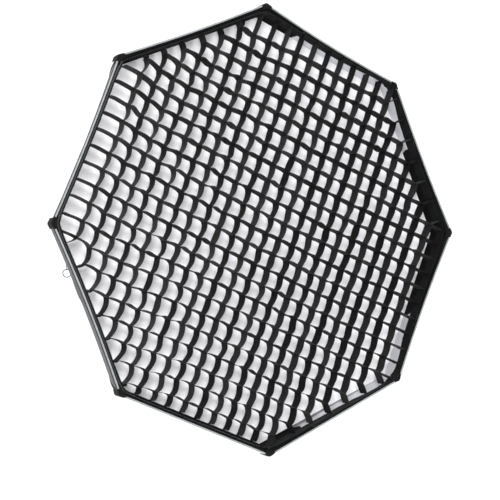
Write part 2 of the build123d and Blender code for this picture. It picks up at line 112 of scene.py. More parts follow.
def sheetFromGrid(name, columns, rows, place, size=(1, 1), closed=False):
    # a grid primitive whose points are moved onto the cloth's surface; its UVs become metres
    clearSelection()
    bpy.ops.mesh.primitive_grid_add(x_subdivisions=columns, y_subdivisions=rows, size=1, calc_uvs=True)
    piece = bpy.context.object
    piece.name = name
    piece.data.name = name
    for vertex in piece.data.vertices:
        vertex.co = place(vertex.co.x + 0.5, vertex.co.y + 0.5)
    for corner in piece.data.uv_layers.active.data:
        corner.uv = (corner.uv[0] * size[0], corner.uv[1] * size[1])
    if closed:
        bpy.ops.object.mode_set(mode="EDIT")
        bpy.ops.mesh.select_all(action="SELECT")
        bpy.ops.mesh.remove_doubles(threshold=0.00005)
        bpy.ops.object.mode_set(mode="OBJECT")
    return piece


def applyAll(piece):
    pick(piece)
    for modifier in list(piece.modifiers):
        bpy.ops.object.modifier_apply(modifier=modifier.name)


def thicken(piece, thickness, offset=0.0, rimMaterial=0, innerMaterial=0):
    wall = piece.modifiers.new("wall", "SOLIDIFY")
    wall.thickness = thickness
    wall.offset = offset
    wall.material_offset = innerMaterial
    wall.material_offset_rim = rimMaterial
    applyAll(piece)


def joinPieces(pieces, name):
    pick(pieces[0])
    for piece in pieces:
        piece.select_set(True)
    bpy.ops.object.join()
    joined = bpy.context.object
    joined.name = name
    joined.data.name = name
    return joined


def smoothFaces(piece, degrees=40):
    pick(piece)
    bpy.ops.object.shade_smooth_by_angle(angle=math.radians(degrees))


def finishPiece(piece, body, material, replaced=()):
    piece.data.materials.clear()
    for one in material if isinstance(material, list) else [material]:
        piece.data.materials.append(one)
    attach(piece, body)
    if replaced:
        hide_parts(*replaced)
    return piece


# ---- materials


def newMaterial(name):
    material = bpy.data.materials.new(name)
    material.use_nodes = True
    return material, material.node_tree.nodes, material.node_tree.links


def clothMaterial(name, dark, light, roughness, sheen, thread, weave, mottle=9.0, crease=0.25, specular=0.3):
    # woven cloth: two thread directions from the UVs in metres, soft creases and slight mottling
    material, parts, links = newMaterial(name)
    shader = parts["Principled BSDF"]
    shader.inputs["Roughness"].default_value = roughness
    shader.inputs["Sheen Weight"].default_value = sheen
    shader.inputs["Sheen Roughness"].default_value = 0.5
    shader.inputs["Specular IOR Level"].default_value = specular
    place = parts.new("ShaderNodeTexCoord")
    mottling = parts.new("ShaderNodeTexNoise")
    mottling.inputs["Scale"].default_value = mottle
    mottling.inputs["Detail"].default_value = 5
    links.new(place.outputs["Object"], mottling.inputs["Vector"])
    tone = parts.new("ShaderNodeValToRGB")
    tone.color_ramp.elements[0].position = 0.3
    tone.color_ramp.elements[0].color = (*dark, 1)
    tone.color_ramp.elements[1].position = 0.72
    tone.color_ramp.elements[1].color = (*light, 1)
    links.new(mottling.outputs["Fac"], tone.inputs["Fac"])
    threads = []
    for direction in ("X", "Y"):
        wave = parts.new("ShaderNodeTexWave")
        wave.bands_direction = direction
        wave.inputs["Scale"].default_value = 1 / thread / (2 * math.pi) * 2
        wave.inputs["Distortion"].default_value = 0.4
        wave.inputs["Detail Scale"].default_value = 2
        links.new(place.outputs["UV"], wave.inputs["Vector"])
        threads.append(wave)
    cross = parts.new("ShaderNodeMath")
    cross.operation = "MULTIPLY"
    links.new(threads[0].outputs["Fac"], cross.inputs[0])
    links.new(threads[1].outputs["Fac"], cross.inputs[1])
    shade = parts.new("ShaderNodeMix")
    shade.data_type = "RGBA"
    shade.blend_type = "MULTIPLY"
    shade.inputs["Factor"].default_value = weave
    links.new(tone.outputs["Color"], shade.inputs[6])
    links.new(cross.outputs[0], shade.inputs[7])
    links.new(shade.outputs[2], shader.inputs["Base Color"])
    folds = parts.new("ShaderNodeTexNoise")
    folds.inputs["Scale"].default_value = 14
    folds.inputs["Detail"].default_value = 4
    folds.inputs["Distortion"].default_value = 0.8
    links.new(place.outputs["Object"], folds.inputs["Vector"])
    coarse = parts.new("ShaderNodeBump")
    coarse.inputs["Strength"].default_value = crease
    coarse.inputs["Distance"].default_value = 0.006
    links.new(folds.outputs["Fac"], coarse.inputs["Height"])
    fine = parts.new("ShaderNodeBump")
    fine.inputs["Strength"].default_value = 0.35
    fine.inputs["Distance"].default_value = thread / 3
    links.new(cross.outputs[0], fine.inputs["Height"])
    links.new(coarse.outputs["Normal"], fine.inputs["Normal"])
    links.new(fine.outputs["Normal"], shader.inputs["Normal"])
    return material


def hardMaterial(name, colour, roughness, metallic=0.0, grain=300.0, bump=0.1, wear=0.0, specular=0.5):
    # metal or plastic with fine grain, uneven gloss and a little handling wear
    material, parts, links = newMaterial(name)
    shader = parts["Principled BSDF"]
    shader.inputs["Metallic"].default_value = metallic
    shader.inputs["Specular IOR Level"].default_value = specular
    place = parts.new("ShaderNodeTexCoord")
    speckle = parts.new("ShaderNodeTexNoise")
    speckle.inputs["Scale"].default_value = grain
    speckle.inputs["Detail"].default_value = 3
    links.new(place.outputs["Object"], speckle.inputs["Vector"])
    smudge = parts.new("ShaderNodeTexNoise")
    smudge.inputs["Scale"].default_value = 28
    smudge.inputs["Detail"].default_value = 5
    links.new(place.outputs["Object"], smudge.inputs["Vector"])
    tone = parts.new("ShaderNodeValToRGB")
    tone.color_ramp.elements[0].position = 0.35
    tone.color_ramp.elements[0].color = (*[c * (1 - 0.25 * (wear + 0.3)) for c in colour], 1)
    tone.color_ramp.elements[1].position = 0.75
    tone.color_ramp.elements[1].color = (*[min(1, c * (1 + wear) + 0.04 * wear) for c in colour], 1)
    links.new(smudge.outputs["Fac"], tone.inputs["Fac"])
    links.new(tone.outputs["Color"], shader.inputs["Base Color"])
    gloss = parts.new("ShaderNodeMapRange")
    gloss.inputs["To Min"].default_value = max(0.02, roughness - 0.08)
    gloss.inputs["To Max"].default_value = min(1, roughness + 0.1)
    links.new(smudge.outputs["Fac"], gloss.inputs["Value"])
    links.new(gloss.outputs["Result"], shader.inputs["Roughness"])
    relief = parts.new("ShaderNodeBump")
    relief.inputs["Strength"].default_value = bump
    relief.inputs["Distance"].default_value = 0.0004
    links.new(speckle.outputs["Fac"], relief.inputs["Height"])
    links.new(relief.outputs["Normal"], shader.inputs["Normal"])
    return material


shellCloth = clothMaterial(
    "blackCoatedNylon", (0.006, 0.006, 0.0065), (0.011, 0.011, 0.012), 0.5, 0.1, 0.0011, 0.25,
    crease=0.5, specular=0.25,
)
silverLining = hardMaterial("silverLining", (0.72, 0.73, 0.75), 0.35, metallic=0.85, grain=90, bump=0.6)
lipCloth = clothMaterial(
    "blackLipNylon", (0.002, 0.002, 0.0022), (0.0045, 0.0045, 0.0048), 0.75, 0.03, 0.0008, 0.25,
    crease=0.35, specular=0.1,
)
gridCloth = clothMaterial(
    "blackGridPolyester", (0.0012, 0.0012, 0.0014), (0.004, 0.004, 0.0043), 0.6, 0.02, 0.0007, 0.25,
    mottle=7, crease=0.4, specular=0.07,
)
# lighter copy of the black grid cloth: painted light on alternate strips, standing in for how the light falls
# on them
gridPaintedLight = clothMaterial(
    "gridPolyesterPaintedLight", (0.0035, 0.0035, 0.0038), (0.01, 0.01, 0.0105), 0.6, 0.05, 0.0007, 0.25,
    mottle=7, crease=0.4, specular=0.1,
)
webbing = clothMaterial(
    "blackWebbing", (0.0015, 0.0015, 0.0017), (0.004, 0.004, 0.0043), 0.7, 0.03, 0.0022, 0.5,
    crease=0.15, specular=0.1,
)
hookCloth = clothMaterial(
    "hookTape", (0.009, 0.009, 0.009), (0.02, 0.02, 0.02), 0.9, 0.3, 0.0016, 0.6,
    crease=0.1,
)
diffuserCloth = clothMaterial(
    "whiteDiffuserNylon", (0.92, 0.91, 0.94), (0.97, 0.965, 0.985), 0.8, 0.15, 0.0006, 0.04,
    mottle=5, crease=0.5, specular=0.2,
)
baffleCloth = clothMaterial(
    "whiteBaffleNylon", (0.84, 0.84, 0.85), (0.9, 0.9, 0.91), 0.8, 0.15, 0.0006, 0.04,
    crease=0.4, specular=0.2,
)
pipingCloth = clothMaterial(
    "silverPiping", (0.22, 0.235, 0.25), (0.34, 0.36, 0.375), 0.42, 0.2, 0.0012, 0.35,
    mottle=40, crease=0.1, specular=0.6,
)
zipCloth = clothMaterial(
    "zipTape", (0.008, 0.008, 0.008), (0.016, 0.016, 0.016), 0.8, 0.2, 0.0012, 0.5,
    crease=0.05,
)
rodSteel = hardMaterial("springSteel", (0.55, 0.56, 0.58), 0.3, metallic=1, grain=500)
ringBlack = hardMaterial("blackAnodised", (0.02, 0.02, 0.022), 0.38, metallic=0.7, grain=700, wear=0.5)
insertPlate = hardMaterial("nickelPlate", (0.66, 0.66, 0.64), 0.22, metallic=1, grain=350, bump=0.06)
nylonBlack = hardMaterial("blackNylon", (0.02, 0.02, 0.021), 0.5, grain=900, bump=0.35)
knobBlack = hardMaterial("knobNylon", (0.015, 0.015, 0.016), 0.42, grain=900, bump=0.3, wear=0.3)
acetal = hardMaterial("acetal", (0.75, 0.74, 0.7), 0.45, grain=400)
screwSteel = hardMaterial("zincScrew", (0.5, 0.5, 0.52), 0.35, metallic=1, grain=600)
zipLacquer = hardMaterial("blackLacquer", (0.012, 0.012, 0.012), 0.3, metallic=0.3, grain=500, wear=0.4)
coilNylon = hardMaterial("coilNylon", (0.012, 0.012, 0.012), 0.35, grain=800)
print("materials made")

hardNodes = {
    "bayonet_insert": insertPlate,
    "retaining_ring": insertPlate,
    "friction_washer": acetal,
    "retaining_screws": screwSteel,
    "socket_screws": screwSteel,
    "speed_ring": ringBlack,
    "rod_tips": nylonBlack,
    "lock_knob": knobBlack,
    "zip_slider": zipLacquer,
    "zip_pull": zipLacquer,
}
for index in range(1, corners + 1):
    hardNodes[f"rod_{index}"] = rodSteel
    hardNodes[f"rod_socket_{index}"] = nylonBlack
for node, material in hardNodes.items():
    nodes[node].data.materials.clear()
    nodes[node].data.materials.append(material)


# ---- shell: one continuous sheet round the rods

shell = {"columns": 128, "rows": 46, "cloth": 0.0007, "saddle": 0.012, "wrinkle": 0.0022, "tapeWide": 0.016}
zipPanel = 4  # the panel at the lower left, seen from the front
looseCloth = {"part": 0.41, "y": -0.405, "wide": 0.05, "deep": 0.028, "out": 0.006}
shellNodes = [f"shell_gore_{index}" for index in range(1, corners + 1)]
flatRun = seam["bendStart"] - seam["innerEdge"]
arcEnd = math.asin((rimY - bendY) / shellArc)
arcRun = shellArc * (math.pi / 2 - arcEnd)


def seamPoint(along, arc):
    # radius and y on a seam arc, and the arc's angle, at this distance from the inner edge
    if along < flatRun:
        return seam["innerEdge"] + along, bendY + arc, math.pi / 2
    angle = math.pi / 2 - (along - flatRun) / shellArc
    return seam["bendStart"] + arc * math.cos(angle), bendY + arc * math.sin(angle), angle


def panelInward(share, angle):
    # unit vector into the box, square to a panel
    index = int((share % 1.0) * corners) % corners
    mid = cornerAngle(index) + sector / 2
    out = Vector((math.cos(angle) / flatShare, math.sin(angle)))
    out.normalize()
    return Vector((-out.x * math.cos(mid), -out.y, -out.x * math.sin(mid)))


def saddleDepth(share, along):
    turn = (share % 1.0) * corners
    part = turn - int(turn)
    index = int(turn) % corners
    down = along / (flatRun + arcRun)
    middle = shell["saddle"] * math.sin(math.pi * min(1, down * 1.02)) ** 0.8 if down < 0.98 else 0
    if index == zipPanel:
        middle = 0
    edge = rimPull[index] * smoothStep((down - 0.55) / 0.45)
    return (middle * (1 - smoothStep((down - 0.75) / 0.25)) + edge) * math.sin(math.pi * part)


def shellPoint(share, along, arc):
    radius, y, angle = seamPoint(along, arc)
    turn = (share % 1.0) * corners
    part = turn - int(turn)
    inward = panelInward(share, angle)
    down = along / (flatRun + arcRun)
    point = ringPoint(share, radius, y, push=smoothStep((down - 0.55) / 0.45))
    fade = math.sin(math.pi * part) * smoothStep(down * 5) * (1 - smoothStep((down - 0.9) / 0.1))
    pucker = ripple(share * 60, along * 5, 0, 1.0, shell["wrinkle"]) * fade
    if int(turn) % corners == zipPanel:
        # taut where the zip is sewn in, with slack cloth pushed out in front of it
        sideways = ((part - looseCloth["part"]) / looseCloth["wide"]) ** 2
        inDepth = ((y - looseCloth["y"]) / looseCloth["deep"]) ** 2
        pucker = -looseCloth["out"] * math.exp(-sideways - inDepth)
    return point + inward * (saddleDepth(share, along) + pucker)


shellSheet = sheetFromGrid(
    "shellCloth",
    shell["columns"],
    shell["rows"],
    lambda s, t: shellPoint(s, t * (flatRun + arcRun), shellArc - 0.0003),
    size=(3.4, flatRun + arcRun),
    closed=True,
)
pick(shellSheet)
bpy.ops.object.mode_set(mode="EDIT")
bpy.ops.mesh.select_all(action="SELECT")
bpy.ops.mesh.normals_make_consistent(inside=False)
bpy.ops.object.mode_set(mode="OBJECT")
rearFace = min(shellSheet.data.polygons, key=lambda f: -f.center.y)
if rearFace.normal.y < 0:
    shellSheet.data.flip_normals()
shellSheet.data.materials.append(shellCloth)
shellSheet.data.materials.append(silverLining)
thicken(shellSheet, shell["cloth"], offset=-1, innerMaterial=1)
smoothFaces(shellSheet, 50)
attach(shellSheet, "box")
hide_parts(*shellNodes)


binding = {"start": 0.004, "stop": 0.045, "lift": 0.0007, "bead": 0.0012, "beadWide": 0.0028, "cloth": 0.0006}


def seamTape(index):
    # binding tape along one seam, folded over the rod
    half = shell["tapeWide"] / 2
    start, length = binding["start"], flatRun + arcRun - binding["stop"]

    def place(s, t):
        across = (s - 0.5) * 2
        along = start + t * length
        radius, y, angle = seamPoint(along, shellArc + binding["lift"])
        step = abs(across) * half
        width = max(radius * 2 * math.sin(sector / 2), 0.001)
        share = (index + across * half / width) / corners
        point = shellPoint(share, along, shellArc + binding["lift"])
        bead = binding["bead"] * math.exp(-((step / binding["beadWide"]) ** 2))
        return point - panelInward(share, angle) * bead

    return sheetFromGrid("seamTape", 10, 70, place, size=(shell["tapeWide"], length))


tapes = joinPieces([seamTape(index) for index in range(corners)], "seamTapes")
thicken(tapes, binding["cloth"])
smoothFaces(tapes, 60)
finishPiece(tapes, "box", webbing)
print("shell made", len(shellSheet.data.polygons), "faces")


# ---- lip: the black wall from the rim back to the diffuser

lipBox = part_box("front_lip")
lip = {"columns": 160, "rows": 14, "cloth": 0.0008, "inset": 0.0078, "wave": 0.0016}
lip["front"], lip["rear"] = lipBox[0].y, lipBox[1].y
lipArc = shellArc - lip["inset"]


def lipPoint(share, y):
    down = (lip["front"] - y) / (lip["front"] - lip["rear"])
    point = ringPoint(share, arcRadius(lipArc, y), y, pull=1.0, fill=1.0)
    centre = Vector((0, y, 0))
    outward = (point - centre).normalized()
    turn = (share % 1.0) * corners
    part = turn - int(turn)
    fade = math.sin(math.pi * part) * smoothStep(down * 3)
    return point + outward * (ripple(share * 90, y * 12, 3, 1.0, lip["wave"]) * fade)


lipSheet = sheetFromGrid(
    "lipCloth",
    lip["columns"],
    lip["rows"],
    lambda s, t: lipPoint(s, lip["front"] + t * (lip["rear"] - lip["front"])),
    size=(3.6, 0.08),
    closed=True,
)
thicken(lipSheet, lip["cloth"])
smoothFaces(lipSheet, 50)
finishPiece(lipSheet, "box", lipCloth, ["front_lip"])

# hem that folds the shell and the lip together at the rim
hem = {"inner": 0.0075, "outer": -0.0002, "deep": 0.008, "bulge": 0.0008, "behind": 0.0045, "nose": 0.005}
foldShare = 0.12  # share of the binding that lies flat on each side


def hemPoint(share, along):
    # a U over the rim: inside, round the front, outside
    angle = math.pi * along
    part = (share * corners) % 1.0
    inner = hem["inner"] - flatFill * (1 - abs(2 * part - 1) ** 9)
    middle = rimCorner - (inner + hem["outer"]) / 2
    half = (inner - hem["outer"]) / 2
    radius = middle - half * math.cos(angle)
    y = rimY + hem["behind"] - hem["nose"] * math.sin(angle) ** 0.6
    if along < foldShare or along > 1 - foldShare:
        edge = (foldShare - min(along, 1 - along)) / foldShare
        fold = hem["nose"] * math.sin(math.pi * foldShare) ** 0.6
        y = rimY + hem["behind"] + hem["deep"] * edge - fold * (1 - edge)
    radius += ripple(share * 300, along * 2, 5, 1.0, hem["bulge"]) * 0.5
    return ringPoint(share, radius, y, pull=1.0, push=smoothStep(along * 1.6))


hemSheet = sheetFromGrid("rimHem", 320, 12, hemPoint, size=(3.7, 0.024), closed=True)
thicken(hemSheet, 0.0006)
smoothFaces(hemSheet, 60)
finishPiece(hemSheet, "box", webbing, ["front_hem"])


# ---- silver piping in eight lengths

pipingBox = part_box("rim_piping")
piping = {
    "cord": 0.0023,
    "stop": 0.0165,
    "y": (pipingBox[0].y + pipingBox[1].y) / 2,
    "corner": rimCorner + 0.0012,
}


def pipingLength(index):
    edge = 2 * piping["corner"] * math.sin(sector / 2)
    gap = piping["stop"] / edge

    def place(s, t):
        part = gap + (1 - 2 * gap) * s
        share = (index + part) / corners
        centre = ringPoint(share, piping["corner"], piping["y"], pull=1.0, push=1.0)
        mid = cornerAngle(index) + sector / 2
        out = Vector((math.cos(mid), 0, math.sin(mid)))
        turn = 2 * math.pi * t
        # pinched a little by each stitch
        size = piping["cord"] * (1 + 0.06 * math.sin(part * 240) + ripple(index * 7, part * 30, 1, 1.0, 0.1))
        return centre + out * (size * math.cos(turn)) + Vector((0, -size * math.sin(turn), 0))

    return sheetFromGrid("pipingLength", 90, 12, place, size=(edge, 0.017), closed=True)


pipingPiece = joinPieces([pipingLength(index) for index in range(corners)], "rimPiping")
smoothFaces(pipingPiece, 60)
finishPiece(pipingPiece, "box", pipingCloth, ["rim_piping"])


def pipingFlange(index):
    # flat tail of the piping, caught under the hem
    edge = 2 * piping["corner"] * math.sin(sector / 2)
    gap = piping["stop"] / edge

    def place(s, t):
        share = (index + gap + (1 - 2 * gap) * s) / corners
        radius = piping["corner"] + 0.0005 - 0.0065 * t
        y = piping["y"] + 0.0022 + 0.0006 * t + 0.0002 * math.sin(s * 700)
        return ringPoint(share, radius, y, pull=1.0, push=1.0)

    return sheetFromGrid("flange", 120, 3, place, size=(edge, 0.007))


flanges = joinPieces([pipingFlange(index) for index in range(corners)], "pipingFlanges")
thicken(flanges, 0.0004)
finishPiece(flanges, "box", webbing)
print("rim made")


# ---- corner pockets that take the rod tips

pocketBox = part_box("corner_pockets")
pocket = {
    "reach": 0.0145,
    "out": 0.0014,
    "back": pocketBox[1].y,
    "front": pocketBox[0].y + 0.0012,
    "inside": 0.0085,
    "round": 0.16,
    "tip": 0.0022,
}


def pocketProfile(t):
    # outside of the shell, over the front, then back inside: offset from the rim corner, and y
    front = pocket["front"]
    points = [
        Vector((pocket["out"], pocket["back"])),
        Vector((pocket["out"] + 0.001, pocket["back"] - 0.02)),
        Vector((pocket["out"] + 0.0005, front + 0.004)),
        Vector((pocket["out"] - 0.003, front)),
        Vector((-0.004, front - 0.0004)),
        Vector((-pocket["inside"] + 0.003, front + 0.0002)),
        Vector((-pocket["inside"], front + 0.003)),
        Vector((-pocket["inside"] - 0.0005, front + 0.006)),
    ]
    place = t * (len(points) - 1)
    index = min(int(place), len(points) - 2)
    return points[index].lerp(points[index + 1], place - index)


def cornerPocket(index):
    angle = cornerAngle(index)

    def place(s, t):
        across = (s - 0.5) * 2
        offset = pocketProfile(t)
        soft = math.sqrt(across * across + pocket["round"]) - math.sqrt(pocket["round"])
        tip = pocket["tip"] * math.exp(-((across / 0.5) ** 2)) * (1 - smoothStep((t - 0.5) * 3))
        fallen = pocket["reach"] * math.sin(sector / 2) * soft
        radial = rimCorner + rimPush[index] * smoothStep(2.4 - 2.4 * t) + offset.x + tip - fallen
        side = pocket["reach"] * math.cos(sector / 2) * across
        y = offset.y + 0.0006 * math.sin(across * 9 + index)
        x = radial * math.cos(angle) - side * math.sin(angle)
        z = radial * math.sin(angle) + side * math.cos(angle)
        return Vector((x, y, z))

    return sheetFromGrid("pocket", 20, 28, place, size=(0.04, 0.075))


pockets = joinPieces([cornerPocket(index) for index in range(corners)], "cornerPockets")
thicken(pockets, 0.0016)
rounding = pockets.modifiers.new("rounding", "BEVEL")
rounding.width = 0.0004
rounding.segments = 2
rounding.limit_method = "ANGLE"
applyAll(pockets)
smoothFaces(pockets, 60)
finishPiece(pockets, "box", webbing, ["corner_pockets"])
print("corner pockets made")


# ---- front diffuser and inner baffle

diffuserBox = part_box("front_diffuser")
diffuser = {"cells": 150, "corner": 0.5855, "y": diffuserBox[0].y, "sag": 0.006, "fold": 0.0035}


def octagonCloth(name, settings, foldSeed):
    # a square of cloth cut to the octagon by eight bisects, then given its folds
    clearSelection()
    bpy.ops.mesh.primitive_grid_add(
        x_subdivisions=settings["cells"],
        y_subdivisions=settings["cells"],
        size=2 * settings["corner"],
        rotation=(math.pi / 2, 0, 0),
        calc_uvs=True,
    )
    piece = bpy.context.object
    piece.name = name
    piece.data.name = name
    bpy.ops.object.transform_apply(location=True, rotation=True, scale=True)
    for corner in piece.data.uv_layers.active.data:
        corner.uv = corner.uv * (2 * settings["corner"])
    bpy.ops.object.mode_set(mode="EDIT")
    apothem = settings["corner"] * flatShare
    for index in range(corners):
        angle = (index + 0.5) * sector
        bpy.ops.mesh.select_all(action="SELECT")
        bpy.ops.mesh.bisect(
            plane_co=(apothem * math.cos(angle), 0, apothem * math.sin(angle)),
            plane_no=(math.cos(angle), 0, math.sin(angle)),
            clear_outer=True,
        )
    bpy.ops.object.mode_set(mode="OBJECT")
    for vertex in piece.data.vertices:
        x, z = vertex.co.x, vertex.co.z
        away = math.hypot(x, z) / settings["corner"]
        angle = math.atan2(z, x)
        fade = 1 - smoothStep((away - 0.8) / 0.13)
        # folds drawn out towards the corners, and long soft ones that hang down
        radial = math.cos(angle * 24 + 2 * noise.noise(Vector((x, z, foldSeed)) * 3)) * smoothStep(away * 1.3)
        hanging = noise.noise(Vector((x * 9 + z * 1.5, foldSeed, z * 1.6)))
        uneven = 0.5 + noise.noise(Vector((x, foldSeed, z)) * 4)
        lift = settings["fold"] * (0.45 * radial * uneven + 0.9 * hanging)
        vertex.co.y = settings["y"] + settings["sag"] * (1 - away * away) * 0.5 + lift * fade
    return piece


diffuserSheet = octagonCloth("diffuserCloth", diffuser, 4.0)
thicken(diffuserSheet, 0.0004)
smoothFaces(diffuserSheet, 60)
finishPiece(diffuserSheet, "box", diffuserCloth, ["front_diffuser"])

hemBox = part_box("diffuser_hem")
hemFlare = 0.0035


def diffuserHemPoint(share, t):
    y = hemBox[0].y + t * (hemBox[1].y - hemBox[0].y)
    return ringPoint(share, hemBox[1].x + hemFlare - hemFlare * t, y, pull=0.8)


backHem = sheetFromGrid("diffuserHem", 160, 5, diffuserHemPoint, size=(3.54, 0.02), closed=True)
thicken(backHem, 0.0012)
smoothFaces(backHem, 60)
finishPiece(backHem, "box", baffleCloth, ["diffuser_hem"])

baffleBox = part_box("inner_baffle")
baffle = {"cells": 90, "corner": baffleBox[1].x, "y": baffleBox[0].y, "sag": 0.01, "fold": 0.005}
baffleSheet = octagonCloth("baffleCloth", baffle, 11.0)
thicken(baffleSheet, 0.0004)
smoothFaces(baffleSheet, 60)
finishPiece(baffleSheet, "box", baffleCloth, ["inner_baffle"])

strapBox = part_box("baffle_straps")


def baffleStrap(index):
    angle = cornerAngle(index)

    def place(s, t):
        radial = baffle["corner"] - 0.012 + (strapBox[1].x - baffle["corner"] + 0.012) * s
        side = (t - 0.5) * 0.02 * (1 - 0.35 * smoothStep((s - 0.6) * 3))
        y = baffle["y"] - 0.0012 + 0.0012 * math.sin(s * 9 + index)
        x = radial * math.cos(angle) - side * math.sin(angle)
        z = radial * math.sin(angle) + side * math.cos(angle)
        return Vector((x, y, z))

    return sheetFromGrid("strap", 16, 6, place, size=(0.05, 0.02))


straps = joinPieces([baffleStrap(index) for index in range(corners)], "baffleStraps")
thicken(straps, 0.0012)
smoothFaces(straps, 60)
finishPiece(straps, "box", webbing, ["baffle_straps"])
print("diffuser and baffle made")


# ---- egg-crate grid

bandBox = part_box("grid_band")
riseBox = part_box("grid_strips_rise")
grid = {
    "pitch": 0.0463,
    "side": 11,
    "front": riseBox[0].y,
    "rear": riseBox[1].y,
    "flat": 0.5884 * flatShare,
    "steps": 8,
    "rows": 3,
    "cloth": 0.0007,
    "seam": 0.0004,
    "doubled": 0.0008,
    "jitter": 0.003,
    "ruffle": 0.0012,
    "tuck": 0.0005,
    "shrink": 0.017,
    "skew": Vector((-0.0023, 0.0066)),
    "slideU": 0.0044,
    "slideLeft": 0.008,
    "slideRight": -0.006,
    "slideLow": -0.011,
    "slideV": -0.0125,
    "slideUp": 0.0072,
    "slideEdge": -0.016,
    "bowRise": 0.0048,
    "bowCross": 0.0024,
    "wobble": 0.0021,
    "lean": 0.0024,
}
crossDir = Vector((math.cos(sector / 2), 0, -math.sin(sector / 2)))
riseDir = Vector((math.sin(sector / 2), 0, math.cos(sector / 2)))
cutSum = grid["flat"] * math.sqrt(2)  # on the slanting edges the two offsets add up to this


def gridWorld(u, v, y):
    return crossDir * u + riseDir * v + Vector((0, y, 0))


def lastSum(i, j):
    # the net has slid down and to the right, so one more row fits under the upper left edge
    return 17 if i < 0 < j else 16


def crossing(i, j):
    # where strip i of one set crosses strip j of the other, once the slack net has slumped
    u, v = i * grid["pitch"], j * grid["pitch"]
    slideU = grid["slideU"] + grid["slideLeft"] * (max(0, -i) / grid["side"]) ** 1.5
    slideU += grid["slideRight"] * smoothStep(i / 7) + grid["slideLow"] * smoothStep((i - j - 1) / 11)
    slideV = grid["slideV"] + grid["slideUp"] * smoothStep((i + j - 4) / 9) * smoothStep((i - 1) / 6)
    slideV += grid["slideEdge"] * smoothStep((abs(j) - i - 8) / 9) * smoothStep(-i / 5)
    jitterU = noise.noise(Vector((i * 1.7, j * 1.3, 2.1))) * grid["jitter"]
    jitterV = noise.noise(Vector((i * 1.1, j * 1.9, 7.7))) * grid["jitter"]
    slideU += v * grid["skew"].x - u * grid["shrink"]
    slideV += u * grid["skew"].y - v * grid["shrink"]
    x = u + slideU * (1 - (abs(v) / grid["flat"]) ** 6) + jitterU
    z = v + slideV * (1 - (abs(u) / grid["flat"]) ** 6) + jitterV
    over = abs(x) + abs(z) - cutSum + 0.002
    if over > 0:
        x -= math.copysign(over / 2, x)
        z -= math.copysign(over / 2, z)
    return Vector((x, z))


def slackAt(i, j):
    # the net hangs slacker towards the lower left
    return 0.6 + 0.8 * smoothStep(0.5 - (i + j) / (2.4 * grid["side"]))


def stripRoute(fixed, rising):
    # crossings along one strip between its two sewn ends, and the numbers of the strips it crosses
    span = range(-grid["side"], grid["side"] + 1)
    pairs = [(n, (fixed, n) if rising else (n, fixed)) for n in span]
    reachable = [n for n, pair in pairs if abs(n) + abs(fixed) <= lastSum(*pair)]
    spots = [crossing(*pair) for n, pair in pairs if n in reachable]
    ends = []
    for last, spot in ((reachable[0], spots[0]), (reachable[-1], spots[-1])):
        sign = 1 if last > 0 else -1
        pair = (fixed, last) if rising else (last, fixed)
        if abs(last) + abs(fixed) == lastSum(*pair) and abs(last) < grid["side"]:
            # both sets share a stem to the slanting edge
            step = (cutSum - abs(spot.x) - abs(spot.y)) / 2 + grid["seam"]
            nudge = grid["doubled"] if rising else -grid["doubled"]
            stem = Vector((math.copysign(step, spot.x) + nudge, math.copysign(step, spot.y) - nudge))
            ends.append(spot + stem)
        else:
            flat = sign * (min(grid["flat"], cutSum - abs(fixed * grid["pitch"])) + grid["seam"])
            ends.append(Vector((spot.x, flat)) if rising else Vector((flat, spot.y)))
    return [ends[0]] + spots + [ends[1]], reachable


def stripCurve(fixed, rising, depth):
    # points along one strip at this depth, 0 at the front edge and 1 at the rear one
    route, reachable = stripRoute(fixed, rising)
    points = []
    for index in range(len(route) - 1):
        a, b = route[index], route[index + 1]
        inner = 0 < index < len(route) - 2
        along = reachable[min(index, len(reachable) - 1)]
        i, j = (fixed, along) if rising else (along, fixed)
        slack = slackAt(i, j)
        vary = noise.noise(Vector((i * 2.3 + 0.4, j * 2.9, 5.0 if rising else 9.0)))
        vary2 = noise.noise(Vector((i * 3.1, j * 1.7 + 0.3, 15.0 if rising else 19.0)))
        bow = (grid["bowRise"] if rising else grid["bowCross"]) * (1 + 0.9 * vary) * slack
        wobble = grid["wobble"] * vary2 * (1.2 if rising else 2.0)
        lean = grid["lean"] * vary * (depth - 0.5) * 2
        side = Vector((1, 0)) if rising else Vector((0, 1))
        last = index == len(route) - 2
        for step in range(grid["steps"] + (1 if last else 0)):
            part = step / grid["steps"]
            swell = math.sin(math.pi * part)
            flat = swell**0.75
            offset = bow * flat + wobble * math.sin(2 * math.pi * part) + lean * swell
            if not inner:
                offset *= 0.45
            points.append(a.lerp(b, part) + side * offset)
    return points


def gridStrip(fixed, rising):
    rows = grid["rows"]
    curves = [stripCurve(fixed, rising, row / rows) for row in range(rows + 1)]
    columns = len(curves[0]) - 1
    tuck = grid["tuck"]

    def place(s, t):
        column, row = round(s * columns), round(t * rows)
        point = curves[row][column]
        y = grid["front"] + tuck + (grid["rear"] - grid["front"] - 2 * tuck) * t
        ruffle = noise.noise(Vector((point.x * 14, point.y * 14, 3 if rising else 8))) * grid["ruffle"]
        return gridWorld(point.x, point.y, y + ruffle)

    strip = sheetFromGrid("strip", columns, rows, place, size=(columns * 0.0058, 0.036))
    # alternate strips get a lighter copy of the black grid cloth: painted light, for strips that bow towards
    # the light
    strip.data.materials.append(gridPaintedLight if fixed % 2 else gridCloth)
    return strip


def gridSet(name, rising):
    pieces = [gridStrip(fixed, rising) for fixed in range(-grid["side"], grid["side"] + 1)]
    piece = joinPieces(pieces, name)
    thicken(piece, grid["cloth"])
    smoothFaces(piece, 50)
    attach(piece, "box")
    return piece


riseStrips = gridSet("gridRiseStrips", True)
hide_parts("grid_strips_rise")
crossStrips = gridSet("gridCrossStrips", False)
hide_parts("grid_strips_cross")


